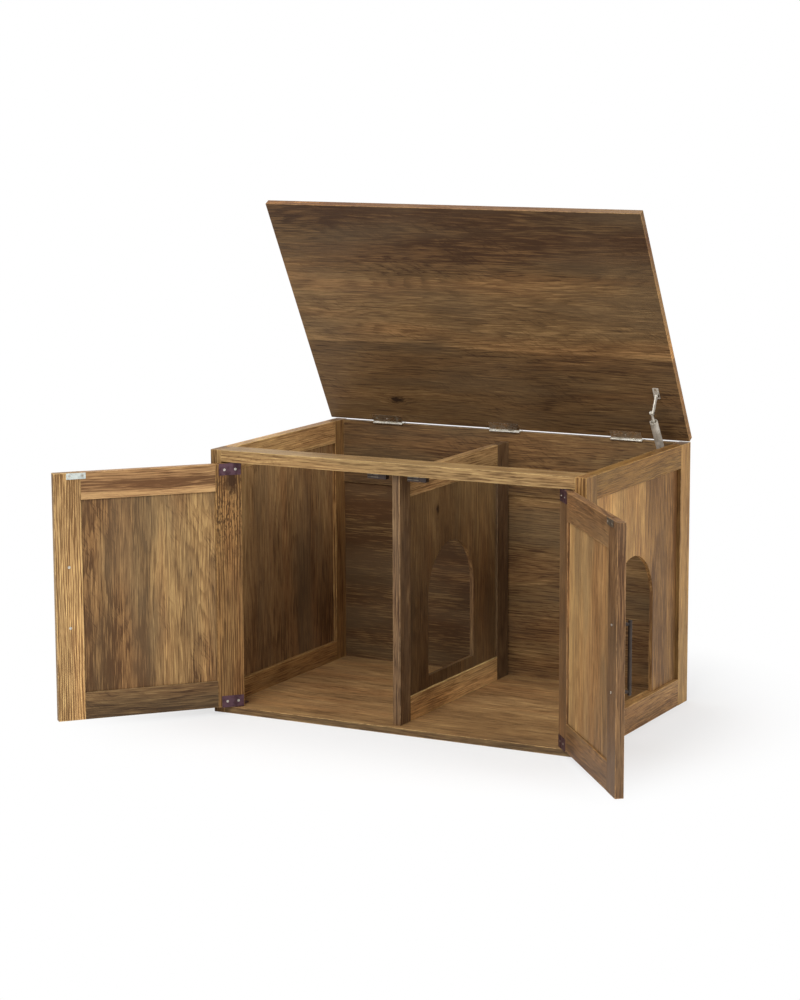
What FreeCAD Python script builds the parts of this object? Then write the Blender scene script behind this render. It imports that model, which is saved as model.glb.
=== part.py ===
import FreeCAD, Part
import os

# Cat litter box cabinet: a framed carcass in two bays, two inset doors and a lift-up lid.
# Millimetres. Origin at the centre of the carcass on the ground, +X to the right, +Y to the rear, +Z up.
# The doors and the lid are modelled open: those angles are the rest pose.

Vector = FreeCAD.Vector
RIGHT = Vector(1, 0, 0)
REAR = Vector(0, 1, 0)
UP = Vector(0, 0, 1)
LEFT = Vector(-1, 0, 0)
FRONT = Vector(0, -1, 0)
DOWN = Vector(0, 0, -1)
# Two directions are along each other where the length of their cross product is less than this.
parallel = 0.001

# ---- carcass ----
carcass_width = 900.0
carcass_depth = 570.0
carcass_height = 590.0
side_thickness = 26.0
side_stile_width = 55.0
side_top_rail_height = 52.0
side_bottom_rail_height = 60.0
side_panel_thickness = 8.0
floor_thickness = 15.0
front_rail_height = 26.0
front_rail_depth = 60.0
back_board_thickness = 15.0
back_board_height = 149.0
back_panel_thickness = 5.0
back_panel_setback = 5.0

# ---- partition ----
partition_thickness = 18.0
partition_front_gap = 0.5
partition_front_stile_width = 48.0
partition_rear_stile_width = 58.0
partition_rail_height = 55.0
partition_panel_thickness = 9.0

# ---- arched openings ----
arch_width = 223.0
arch_top = 381.0
arch_centre_from_front = 271.0
partition_arch_sill = 26.0

# ---- frame joints ----
groove_depth = 8.0
groove_fit = 0.1
tongue_end_gap = 0.4
arris = 0.7
dowel_radius = 3.0
dowel_depth = 12.0
dowel_depth_in_thin_board = 9.0
dowel_end_distance = 82.5
rail_dowel_places = (15.0, 40.0)
back_board_dowel_places = (37.0, 112.0)
hole_clearance = 0.05

# ---- doors ----
door_thickness = 18.0
door_frame_width = 60.0
door_panel_thickness = 9.0
door_side_gap = 2.2
door_centre_gap = 3.8
door_pivot_inset = 22.0
left_door_angle = 132.0
right_door_angle = 129.5

# ---- door pivot hinges ----
pivot_leaf_thickness = 1.0
pivot_running_gap = 0.3
pivot_pin_radius = 2.5
pivot_pin_depth = 10.0
pivot_tab_radius = 8.0
pivot_leaf_width = 50.0
pivot_leaf_height = 25.0
pivot_leaf_heel = 18.0
pivot_strap_length = 44.0
pivot_screw_spacing = 25.0
pivot_strap_screw_spacing = 16.0

# ---- handles ----
handle_spacing = 134.0
handle_overhang = 8.0
handle_bar_radius = 4.0
handle_bar_nose = 1.3
handle_post_radius = 3.5
handle_foot_radius = 6.0
handle_foot_height = 4.8
handle_foot_rim = 1.2
handle_projection = 22.0
handle_screw_depth = 9.0

# ---- catches ----
catch_length = 45.0
catch_depth = 15.0
catch_height = 14.0
catch_spacing = 96.0
catch_pole_length = 26.0
catch_pole_thickness = 1.6
catch_pole_gap = 4.0
catch_pole_depth = 9.0
catch_air_gap = 0.3
strike_length = 43.0
strike_height = 13.5
strike_thickness = 1.0
strike_inset = 49.5
strike_screw_spacing = 29.0

# ---- lid and its hinges ----
lid_thickness = 15.0
lid_length = 598.0
lid_side_overhang = 5.0
lid_seat_gap = 0.3
lid_edge_to_pin = 5.0
lid_angle = 60.3
knuckle_radius = 2.6
knuckle_board_gap = 0.3
knuckle_count = 5
knuckle_gap = 0.3
hinge_pin_radius = 1.3
hinge_leaf_thickness = 1.2
hinge_length = 76.0
hinge_lid_leaf_reach = 21.5
hinge_inset = 147.0
hinge_screw_spacing = 27.0

# ---- lid stay ----
stay_side_gap = 24.0
stay_lid_reach = 134.5
stay_lid_drop = 10.1
stay_link_rear = 17.7
stay_link_height = 35.9
stay_tube_radius = 8.9
stay_tube_bore = 6.6
stay_tube_mouth = 10.0
stay_tube_end_gap = 24.5
stay_rod_radius = 2.8
stay_rod_socket = 30.0
stay_eye_radius = 7.0
stay_eye_width = 10.0
stay_neck_radius = 4.0
stay_neck_length = 14.0
stay_tube_start = 10.5
stay_stud_radius = 3.0
stay_stud_head_radius = 5.0
stay_rivet_radius = 2.0
stay_rivet_head_radius = 3.6
stay_rivet_head = 1.0
stay_rod_eye_radius = 4.6
stay_rod_eye_width = 5.0
stay_link_radius = 4.4
stay_link_thickness = 2.2
stay_open_pivot_clearance = 0.2
stay_running_gap = 0.3
stay_plate_thickness = 2.0
stay_plate_width = 28.0
stay_plate_height = 44.0
stay_plate_screw_spacing = 30.0
stay_lid_plate_width = 14.0
stay_lid_plate_length = 28.0
stay_lid_screw_spacing = 18.0

# ---- screws: shank radius, head radius, head depth, shank length ----
hinge_screw = (1.3, 2.7, 1.4, 12.0)
leaf_screw = (1.4, 2.9, 1.2, 11.0)
catch_screw = (1.3, 2.6, 1.4, 12.0)
stay_screw = (1.5, 3.2, 1.8, 13.0)
stay_lid_screw = (1.5, 3.2, 1.8, 12.0)
handle_screw_radius = 2.0
handle_screw_head_radius = 4.5
handle_screw_crown_radius = 3.2
handle_screw_head = 1.8

# ---- places worked out from the sizes ----
front_y = -carcass_depth / 2
rear_y = carcass_depth / 2
inner_x = carcass_width / 2 - side_thickness
rail_bottom = carcass_height - front_rail_height
back_board_front = rear_y - back_board_thickness
hinge_plane = carcass_height + lid_seat_gap
back_board_top = hinge_plane - hinge_leaf_thickness
back_board_bottom = back_board_top - back_board_height
back_panel_front = back_board_front + back_panel_setback
lid_pin = Vector(0, back_board_front - knuckle_board_gap - knuckle_radius, hinge_plane - knuckle_radius)
lid_rear = lid_pin.y - lid_edge_to_pin

door_gap = 2 * pivot_leaf_thickness + pivot_running_gap
door_bottom = floor_thickness + door_gap
door_top = rail_bottom - door_gap
door_height = door_top - door_bottom
door_left = -inner_x + door_side_gap
door_width = -door_centre_gap / 2 - door_left
door_inner_y = front_y + door_thickness
door_pivot = Vector(-inner_x + door_pivot_inset, front_y + door_thickness / 2, 0)
pivot_pin_length = door_gap + pivot_pin_depth

partition_front = door_inner_y + partition_front_gap
partition_depth = back_board_front - partition_front
partition_height = rail_bottom - floor_thickness
arch_centre_y = front_y + arch_centre_from_front


# ---- small helpers ----

def block(x, y, z):
    """A box between three (low, high) pairs."""
    return Part.makeBox(x[1] - x[0], y[1] - y[0], z[1] - z[0], Vector(x[0], y[0], z[0]))


def centred(middle, length):
    """The (low, high) pair of a length about its middle."""
    return (middle - length / 2, middle + length / 2)


def runs_along(edge, way):
    """Whether a straight edge has a direction."""
    return edge.tangentAt(edge.FirstParameter).cross(way).Length < parallel


def eased(board, grain):
    """The board with the long arrises that run along its grain taken off."""
    return board.makeChamfer(arris, [edge for edge in board.Edges if runs_along(edge, grain)])


def rod(radius, start, direction, length):
    """A round bar from a start point."""
    return Part.makeCylinder(radius, length, start, direction)


def turned(profile, axis_start, axis):
    """A closed profile of points, turned a full circle about an axis."""
    outline = Part.makePolygon(profile + [profile[0]])
    return Part.Face(outline).revolve(axis_start, axis, 360)


def stadium(start, end, radius, normal, thickness):
    """A flat bar with round ends at two points, thick along its normal."""
    along = (end - start).normalize()
    across = normal.cross(along)
    corners = [
        start + across * radius,
        end + across * radius,
        end - across * radius,
        start - across * radius,
    ]
    edges = [
        Part.LineSegment(corners[0], corners[1]).toShape(),
        Part.Arc(corners[1], end + along * radius, corners[2]).toShape(),
        Part.LineSegment(corners[2], corners[3]).toShape(),
        Part.Arc(corners[3], start - along * radius, corners[0]).toShape(),
    ]
    return Part.Face(Part.Wire(edges)).extrude(normal * thickness)


def screw(size, head, inward, clearance=0.0):
    """A countersunk screw whose head lies flush at a point. With a clearance it is the hole for one."""
    shank_radius, head_radius, head_depth, length = size
    cone = Part.makeCone(head_radius + clearance, shank_radius + clearance, head_depth, head, inward)
    shank = rod(shank_radius + clearance, head, inward, length + clearance)
    return cone.fuse(shank).removeSplitter()


def fasten(pieces, node, size, head, inward, through):
    """Add a screw to a node, and cut its hole in the nodes that it goes through."""
    pieces.setdefault(node, []).append(screw(size, head, inward))
    drill(pieces, screw(size, head, inward, hole_clearance), through)


def drill(pieces, tool, nodes):
    """Cut a tool from every solid of the nodes that it reaches."""
    for node in nodes:
        pieces[node] = [
            solid.cut(tool) if solid.BoundBox.intersect(tool.BoundBox) else solid for solid in pieces[node]
        ]


def changed(pieces, change):
    """The same pieces, each put through one change."""
    return {node: [change(solid) for solid in solids] for node, solids in pieces.items()}


def swung(pieces, centre, axis, angle):
    """The pieces turned about an axis by an angle in degrees."""
    def turn(solid):
        copy = solid.copy()
        copy.rotate(centre, axis, angle)
        return copy
    return changed(pieces, turn)


def mirrored(pieces, old, new):
    """The pieces mirrored left to right, with one word of their names changed."""
    flipped = changed(pieces, lambda solid: solid.mirror(Vector(0, 0, 0), RIGHT))
    return {node.replace(old, new): solids for node, solids in flipped.items()}


# ---- framed panels: two stiles, two rails with stub tongues and a panel, all held in one groove ----

def framed_panel(name, stile_names, size, stiles, rails, panel_thickness):
    """Local frame: X across from the first stile, Y through the thickness, Z up."""
    width, thickness, height = size
    first_stile, second_stile = stiles
    bottom_rail, top_rail = rails
    groove = centred(thickness / 2, panel_thickness + 2 * groove_fit)
    tongue = centred(thickness / 2, panel_thickness)
    tongue_length = groove_depth - tongue_end_gap
    inside = (first_stile, width - second_stile)
    whole = (0, thickness)
    over = (-arris, height + arris)

    first = eased(block((0, first_stile), whole, (0, height)), UP)
    first = first.cut(block((first_stile - groove_depth, first_stile + arris), groove, over))
    second = eased(block((inside[1], width), whole, (0, height)), UP)
    second = second.cut(block((inside[1] - arris, inside[1] + groove_depth), groove, over))

    tongue_x = (inside[0] - tongue_length, inside[1] + tongue_length)
    groove_x = (tongue_x[0] - arris, tongue_x[1] + arris)
    low = eased(block(inside, whole, (0, bottom_rail)), RIGHT)
    low = low.fuse(block(tongue_x, tongue, (arris, bottom_rail - groove_depth)))
    low = low.cut(block(groove_x, groove, (bottom_rail - groove_depth, bottom_rail + arris)))
    rail_start = height - top_rail
    high = eased(block(inside, whole, (rail_start, height)), RIGHT)
    high = high.fuse(block(tongue_x, tongue, (rail_start + groove_depth, height - arris)))
    high = high.cut(block(groove_x, groove, (rail_start - arris, rail_start + groove_depth)))

    panel_z = (bottom_rail - tongue_length, rail_start + tongue_length)
    panel = block(tongue_x, tongue, panel_z)
    return {
        name + "_" + stile_names[0]: [first],
        name + "_" + stile_names[1]: [second],
        name + "_bottom_rail": [low.removeSplitter()],
        name + "_top_rail": [high.removeSplitter()],
        name + "_panel": [panel],
    }


def stood(pieces, corner):
    """Framed pieces turned from facing front to facing sideways, with their first corner at a point."""
    def place(solid):
        copy = solid.copy()
        copy.Placement = FreeCAD.Placement(corner, FreeCAD.Rotation(UP, 90))
        return copy
    return changed(pieces, place)


def arch(x, bottom):
    """A round-topped doorway through a sideways panel, as a tool."""
    half = arch_width / 2
    spring = arch_top - half
    foot_front = Vector(x[0], arch_centre_y - half, bottom)
    foot_rear = Vector(x[0], arch_centre_y + half, bottom)
    spring_front = Vector(x[0], arch_centre_y - half, spring)
    spring_rear = Vector(x[0], arch_centre_y + half, spring)
    crown = Vector(x[0], arch_centre_y, arch_top)
    edges = [
        Part.LineSegment(foot_rear, foot_front).toShape(),
        Part.LineSegment(foot_front, spring_front).toShape(),
        Part.Arc(spring_front, crown, spring_rear).toShape(),
        Part.LineSegment(spring_rear, foot_rear).toShape(),
    ]
    return Part.Face(Part.Wire(edges)).extrude(RIGHT * (x[1] - x[0]))


# ---- carcass ----

def sides():
    frame = framed_panel(
        "left_side",
        ("front_stile", "rear_stile"),
        (carcass_depth, side_thickness, carcass_height),
        (side_stile_width, side_stile_width),
        (side_bottom_rail_height, side_top_rail_height),
        side_panel_thickness,
    )
    left = stood(frame, Vector(-inner_x, front_y, 0))
    right = mirrored(left, "left", "right")
    drill(right, arch((0, carcass_width), side_bottom_rail_height), ["right_side_panel"])
    return {**left, **right}


def partition():
    frame = framed_panel(
        "partition",
        ("front_stile", "rear_stile"),
        (partition_depth, partition_thickness, partition_height),
        (partition_front_stile_width, partition_rear_stile_width),
        (partition_rail_height, partition_rail_height),
        partition_panel_thickness,
    )
    pieces = stood(frame, Vector(partition_thickness / 2, partition_front, floor_thickness))
    sill = floor_thickness + partition_rail_height + partition_arch_sill
    drill(pieces, arch(centred(0, 2 * partition_thickness), sill), ["partition_panel"])
    return pieces


def cross_boards():
    """The boards that run from side to side, and the lower back panel in its grooves."""
    between = (-inner_x, inner_x)
    back_y = (back_board_front, rear_y)
    panel_y = (back_panel_front, back_panel_front + back_panel_thickness)
    tongue = groove_depth - tongue_end_gap
    # The floor is thin, so the panel stands in it by half of the floor's thickness.
    floor_groove = floor_thickness / 2
    panel_z = (floor_thickness - floor_groove + tongue_end_gap, back_board_bottom + tongue)
    groove_y = (panel_y[0] - groove_fit, panel_y[1] + groove_fit)
    groove_z = (floor_thickness - floor_groove, back_board_bottom + groove_depth)
    groove = block((-inner_x - groove_depth, inner_x + groove_depth), groove_y, groove_z)
    floor = eased(block(between, (front_y, rear_y), (0, floor_thickness)), RIGHT)
    front_rail = block(between, (front_y, front_y + front_rail_depth), (rail_bottom, carcass_height))
    back_board = block(between, back_y, (back_board_bottom, back_board_top))
    pieces = {
        "floor_board": [floor],
        "front_top_rail": [eased(front_rail, RIGHT)],
        "back_top_board": [eased(back_board, RIGHT)],
        "back_panel": [block((-inner_x - tongue, inner_x + tongue), panel_y, panel_z)],
    }
    drill(pieces, groove, ["floor_board", "back_top_board"])
    return pieces, groove


def dowel(pieces, seam, first_way, first_depth, second_depth, through):
    """A dowel across a seam: so deep one way and so deep the other."""
    start = seam + first_way * first_depth
    length = first_depth + second_depth
    pieces.setdefault("carcass_dowels", []).append(rod(dowel_radius, start, -first_way, length))
    hole_start = start + first_way * tongue_end_gap
    hole = rod(dowel_radius + hole_clearance, hole_start, -first_way, length + 2 * tongue_end_gap)
    drill(pieces, hole, through)


def add_dowels(pieces):
    floor_z = floor_thickness / 2
    rail_z = rail_bottom + front_rail_height / 2
    for side, sign in (("left", -1), ("right", 1)):
        seam_x = sign * inner_x
        outward = RIGHT * sign
        rail = side + "_side_bottom_rail"
        for y in (front_y + dowel_end_distance, 0, rear_y - dowel_end_distance):
            seam = Vector(seam_x, y, floor_z)
            dowel(pieces, seam, outward, dowel_depth, dowel_depth, ["floor_board", rail])
        stile = side + "_side_front_stile"
        for place in rail_dowel_places:
            seam = Vector(seam_x, front_y + place, rail_z)
            dowel(pieces, seam, outward, dowel_depth, dowel_depth, ["front_top_rail", stile])
        stile = side + "_side_rear_stile"
        for place in back_board_dowel_places:
            seam = Vector(seam_x, rear_y - back_board_thickness / 2, back_board_bottom + place)
            dowel(pieces, seam, outward, dowel_depth, dowel_depth, ["back_top_board", stile])
    front_stile_y = partition_front + partition_front_stile_width / 2
    rear_stile_y = back_board_front - partition_rear_stile_width / 2
    thin = dowel_depth_in_thin_board
    for y, stile in ((front_stile_y, "partition_front_stile"), (rear_stile_y, "partition_rear_stile")):
        dowel(pieces, Vector(0, y, floor_thickness), DOWN, thin, dowel_depth, ["floor_board", stile])
    above = Vector(0, min(front_stile_y, front_y + front_rail_depth - 2 * dowel_radius), rail_bottom)
    dowel(pieces, above, UP, dowel_depth, dowel_depth, ["front_top_rail", "partition_front_stile"])
    behind = Vector(0, back_board_front, (back_board_bottom + rail_bottom) / 2)
    dowel(pieces, behind, REAR, thin, dowel_depth, ["back_top_board", "partition_rear_stile"])


def add_catches(pieces):
    """Magnetic catches under the front rail: a housing with two steel pole plates facing the strike."""
    face_y = door_inner_y + strike_thickness + catch_air_gap
    body_y = (face_y + catch_pole_thickness, face_y + catch_pole_thickness + catch_depth)
    body_z = (rail_bottom - catch_height, rail_bottom)
    middle_z = rail_bottom - catch_height / 2
    pieces["catch_housings"] = []
    pieces["catch_pole_plates"] = []
    for middle_x in (-catch_spacing / 2, catch_spacing / 2):
        start = middle_x - catch_length / 2
        housing = eased(block((start, start + catch_length), body_y, body_z), UP)
        pole_x = (start + catch_pole_thickness, start + catch_pole_thickness + catch_pole_length)
        pole_y = (face_y, body_y[0] + catch_pole_depth)
        for z in centred(middle_z, catch_pole_gap + catch_pole_thickness):
            pole = block(pole_x, pole_y, centred(z, catch_pole_thickness))
            housing = housing.cut(pole)
            pieces["catch_pole_plates"].append(pole)
        pieces["catch_housings"].append(housing)
        size = catch_screw[:3] + (catch_height + catch_screw[3],)
        screw_x = (pole_x[1] + start + catch_length) / 2
        for y in centred(sum(body_y) / 2, catch_depth / 2):
            head = Vector(screw_x, y, body_z[0])
            fasten(pieces, "carcass_screws", size, head, UP, ["catch_housings", "front_top_rail"])


# ---- doors, modelled closed on the left ----

def pivot_tab(z, thickness):
    """The round-nosed tab of a door leaf, from its bend over the door's edge to the pin."""
    heel = Vector(door_pivot.x, door_inner_y - pivot_tab_radius, z)
    nose = Vector(door_pivot.x, door_pivot.y, z)
    square = block(centred(door_pivot.x, 2 * pivot_tab_radius), (heel.y, door_inner_y), (z, z + thickness))
    return stadium(heel, nose, pivot_tab_radius, UP, thickness).fuse(square)


# Each pivot's edge of the door, its seat on the carcass, the way from one to the other and the board there.
pivot_levels = (
    (door_top, rail_bottom, 1, "front_top_rail"),
    (door_bottom, floor_thickness, -1, "floor_board"),
)


def add_door_leaves(door):
    """The angled leaves of the top and bottom pivots, and the bores for their pins."""
    leaf = pivot_leaf_thickness
    leaf_x = (door_pivot.x - pivot_leaf_heel, door_pivot.x - pivot_leaf_heel + pivot_leaf_width)
    leaf_y = (door_inner_y, door_inner_y + leaf)
    through = ["left_door_hinge_stile", "left_door_pivot_leaves"]
    door["left_door_pivot_leaves"] = []
    for edge_z, seat_z, way, _ in pivot_levels:
        tab_z = min(edge_z, edge_z + way * leaf)
        far_z = edge_z - way * pivot_leaf_height
        plate_z = (min(far_z, tab_z), max(far_z, tab_z + leaf))
        angle_leaf = block(leaf_x, leaf_y, plate_z).fuse(pivot_tab(tab_z, leaf))
        door["left_door_pivot_leaves"].append(angle_leaf.removeSplitter())
        pin_root = Vector(door_pivot.x, door_pivot.y, seat_z)
        bore_length = pivot_pin_length + tongue_end_gap
        bore = rod(pivot_pin_radius + hole_clearance, pin_root, UP * -way, bore_length)
        drill(door, bore, through)
        for x in centred((leaf_x[0] + leaf_x[1]) / 2, pivot_screw_spacing):
            head = Vector(x, leaf_y[1], edge_z - way * pivot_leaf_height / 2)
            fasten(door, "left_door_leaf_screws", leaf_screw, head, FRONT, through)


def add_carcass_straps(carcass):
    """The straps under the front rail and on the floor, each with a riveted pin that carries a door."""
    leaf = pivot_leaf_thickness
    carcass["carcass_pivot_leaves"] = []
    for x in (door_pivot.x, -door_pivot.x):
        for _, seat_z, way, board in pivot_levels:
            strap_z = min(seat_z, seat_z - way * leaf)
            strap_start = Vector(x, door_pivot.y, strap_z)
            strap = stadium(strap_start, strap_start + REAR * pivot_strap_length, pivot_tab_radius, UP, leaf)
            pin = rod(pivot_pin_radius, Vector(x, door_pivot.y, seat_z), UP * -way, pivot_pin_length)
            carcass["carcass_pivot_leaves"].append(strap.fuse(pin).removeSplitter())
            through = ["carcass_pivot_leaves", board]
            for step in (0, 1):
                head_y = door_pivot.y + pivot_strap_length - step * pivot_strap_screw_spacing
                head = Vector(x, head_y, seat_z - way * leaf)
                fasten(carcass, "carcass_screws", leaf_screw, head, UP * way, through)


def add_strike(door):
    """The steel plate that meets the catch, across the top of the free stile."""
    middle_x = -door_centre_gap / 2 - strike_inset
    plate_y = (door_inner_y, door_inner_y + strike_thickness)
    plate_z = (door_top - strike_height - arris, door_top - arris)
    plate = block(centred(middle_x, strike_length), plate_y, plate_z)
    door["left_door_strike_plate"] = [eased(plate, REAR)]
    wood = ["left_door_free_stile", "left_door_top_rail"]
    for x in centred(middle_x, strike_screw_spacing):
        head = Vector(x, plate_y[1], door_top - arris - strike_height / 2)
        fasten(door, "left_door_leaf_screws", leaf_screw, head, FRONT, wood + ["left_door_strike_plate"])


def add_handle(door):
    """A bar on two posts on the outer face, held by two screws from inside."""
    x = -door_centre_gap / 2 - door_frame_width / 2
    middle_z = (door_bottom + door_top) / 2
    bar_y = front_y - handle_projection + handle_bar_radius
    bar_length = handle_spacing + 2 * handle_overhang
    start_z = middle_z - bar_length / 2
    nose = handle_bar_nose
    bar = turned(
        [
            Vector(x, bar_y, start_z),
            Vector(x + handle_bar_radius - nose, bar_y, start_z),
            Vector(x + handle_bar_radius, bar_y, start_z + nose),
            Vector(x + handle_bar_radius, bar_y, start_z + bar_length - nose),
            Vector(x + handle_bar_radius - nose, bar_y, start_z + bar_length),
            Vector(x, bar_y, start_z + bar_length),
        ],
        Vector(x, bar_y, 0),
        UP,
    )
    posts = []
    screw_length = handle_screw_head + door_thickness + handle_screw_depth
    door["left_door_handle_screws"] = []
    for z in centred(middle_z, handle_spacing):
        post = turned(
            [
                Vector(x, front_y, z),
                Vector(x + handle_foot_radius, front_y, z),
                Vector(x + handle_foot_radius, front_y - handle_foot_rim, z),
                Vector(x + handle_post_radius, front_y - handle_foot_height, z),
                Vector(x + handle_post_radius, bar_y, z),
                Vector(x, bar_y, z),
            ],
            Vector(x, 0, z),
            REAR,
        )
        head = Vector(x, door_inner_y + handle_screw_head, z)
        shank = rod(handle_screw_radius, head, FRONT, screw_length)
        hole = rod(handle_screw_radius + hole_clearance, head, FRONT, screw_length + tongue_end_gap)
        crown = handle_screw_crown_radius
        dome = Part.makeCone(crown, handle_screw_head_radius, handle_screw_head, head, FRONT)
        door["left_door_handle_screws"].append(dome.fuse(shank).removeSplitter())
        drill(door, hole, ["left_door_free_stile"])
        posts.append(post.cut(bar).cut(hole))
    door["left_door_handle_bar"] = [bar]
    door["left_door_handle_posts"] = posts


def left_door_closed():
    frame = framed_panel(
        "left_door",
        ("hinge_stile", "free_stile"),
        (door_width, door_thickness, door_height),
        (door_frame_width, door_frame_width),
        (door_frame_width, door_frame_width),
        door_panel_thickness,
    )
    corner = Vector(door_left, front_y, door_bottom)
    return changed(frame, lambda solid: solid.translated(corner))


# ---- lid, modelled closed ----

def lid_hinge(x):
    """One butt hinge, flat: its two leaves with interleaved knuckles, and the pin."""
    axis = Vector(x - hinge_length / 2, lid_pin.y, lid_pin.z)
    pitch = hinge_length / knuckle_count
    root = knuckle_radius + knuckle_gap
    leaf_z = (hinge_plane - hinge_leaf_thickness, hinge_plane)
    whole_x = (axis.x, axis.x + hinge_length)
    fixed = block(whole_x, (lid_pin.y + root, rear_y - knuckle_board_gap), leaf_z)
    moving = block(whole_x, (lid_pin.y - hinge_lid_leaf_reach, lid_pin.y - root), leaf_z)
    for number in range(knuckle_count):
        start = axis.x + number * pitch + (knuckle_gap / 2 if number else 0)
        end = axis.x + (number + 1) * pitch - (knuckle_gap / 2 if number < knuckle_count - 1 else 0)
        barrel = rod(knuckle_radius, Vector(start, lid_pin.y, lid_pin.z), RIGHT, end - start)
        if number % 2 == 0:
            strip = block((start, end), (lid_pin.y, lid_pin.y + root), leaf_z)
            fixed = fixed.fuse(barrel).fuse(strip)
        else:
            strip = block((start, end), (lid_pin.y - root, lid_pin.y), leaf_z)
            moving = moving.fuse(barrel).fuse(strip)
    bore = rod(hinge_pin_radius + hole_clearance, axis, RIGHT, hinge_length)
    pin = rod(hinge_pin_radius, axis, RIGHT, hinge_length)
    return fixed.cut(bore).removeSplitter(), moving.cut(bore).removeSplitter(), pin


def add_lid_hinges(lid, carcass):
    lid["lid_hinge_lid_leaves"] = []
    carcass["lid_hinge_fixed_leaves"] = []
    carcass["lid_hinge_pins"] = []
    outer = carcass_width / 2 - hinge_inset
    lid_screw_y = (lid_rear + lid_pin.y - hinge_lid_leaf_reach) / 2
    for x in (-outer, 0, outer):
        fixed, moving, pin = lid_hinge(x)
        carcass["lid_hinge_fixed_leaves"].append(fixed)
        carcass["lid_hinge_pins"].append(pin)
        lid["lid_hinge_lid_leaves"].append(moving)
        for step in (-1, 0, 1):
            screw_x = x + step * hinge_screw_spacing
            head = Vector(screw_x, rear_y - back_board_thickness / 2, hinge_plane)
            through = ["lid_hinge_fixed_leaves", "back_top_board"]
            fasten(carcass, "carcass_screws", hinge_screw, head, DOWN, through)
            head = Vector(screw_x, lid_screw_y, hinge_plane - hinge_leaf_thickness)
            through = ["lid_hinge_lid_leaves", "lid_board"]
            fasten(lid, "lid_screws", hinge_screw, head, UP, through)


def lid_board():
    half = carcass_width / 2 + lid_side_overhang
    board_z = (hinge_plane, hinge_plane + lid_thickness)
    board = block((-half, half), (lid_rear - lid_length, lid_rear), board_z)
    return {"lid_board": [board.makeChamfer(arris, board.Edges)]}


# ---- lid stay: a parallelogram of lid, tube, link and side, in one vertical plane ----

stay_x = inner_x - stay_side_gap
link_x = stay_x + stay_rod_eye_width / 2 + stay_running_gap
ear_x = link_x + stay_link_thickness + stay_running_gap
stay_lid_pivot_closed = Vector(0, lid_pin.y - stay_lid_reach, hinge_plane - stay_lid_drop)


def opened(point):
    """A point of the closed lid, carried to the open pose."""
    turn = FreeCAD.Rotation(LEFT, lid_angle)
    return lid_pin + turn.multVec(point - lid_pin)


def at_x(point, x):
    return Vector(x, point.y, point.z)


stay_lid_pivot = opened(stay_lid_pivot_closed)
stay_link_vector = Vector(0, -stay_link_rear, -stay_link_height)
stay_elbow = stay_lid_pivot + stay_link_vector
stay_side_pivot = at_x(lid_pin + stay_link_vector, 0)


def rivet(start, grip):
    """A rivet along X with a head at each end, and a start at the inside of its first head."""
    first_head = rod(stay_rivet_head_radius, start + LEFT * stay_rivet_head, RIGHT, stay_rivet_head)
    shank = rod(stay_rivet_radius, start, RIGHT, grip)
    second_head = rod(stay_rivet_head_radius, start + RIGHT * grip, RIGHT, stay_rivet_head)
    return first_head.fuse(shank).fuse(second_head).removeSplitter()


def add_stay_side_bracket(carcass):
    plate_x = (inner_x - stay_plate_thickness, inner_x)
    half_eye = stay_eye_width / 2 + stay_running_gap
    plate = block(
        plate_x,
        centred(stay_side_pivot.y, stay_plate_width),
        centred(stay_side_pivot.z, stay_plate_height),
    )
    plate = eased(plate, RIGHT)
    stud_start = at_x(stay_side_pivot, stay_x - half_eye)
    stud = rod(stay_stud_radius, stud_start, RIGHT, plate_x[0] - stud_start.x)
    head = rod(stay_stud_head_radius, stud_start + LEFT * stay_plate_thickness, RIGHT, stay_plate_thickness)
    shoulder_start = at_x(stay_side_pivot, stay_x + half_eye)
    shoulder = rod(stay_stud_head_radius, shoulder_start, RIGHT, plate_x[0] - shoulder_start.x)
    carcass["stay_side_bracket"] = [plate.fuse(stud).fuse(head).fuse(shoulder).removeSplitter()]
    through = ["stay_side_bracket", "right_side_rear_stile", "right_side_top_rail"]
    for z in centred(stay_side_pivot.z, stay_plate_screw_spacing):
        head_point = Vector(plate_x[0], stay_side_pivot.y, z)
        fasten(carcass, "carcass_screws", stay_screw, head_point, RIGHT, through)


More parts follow.
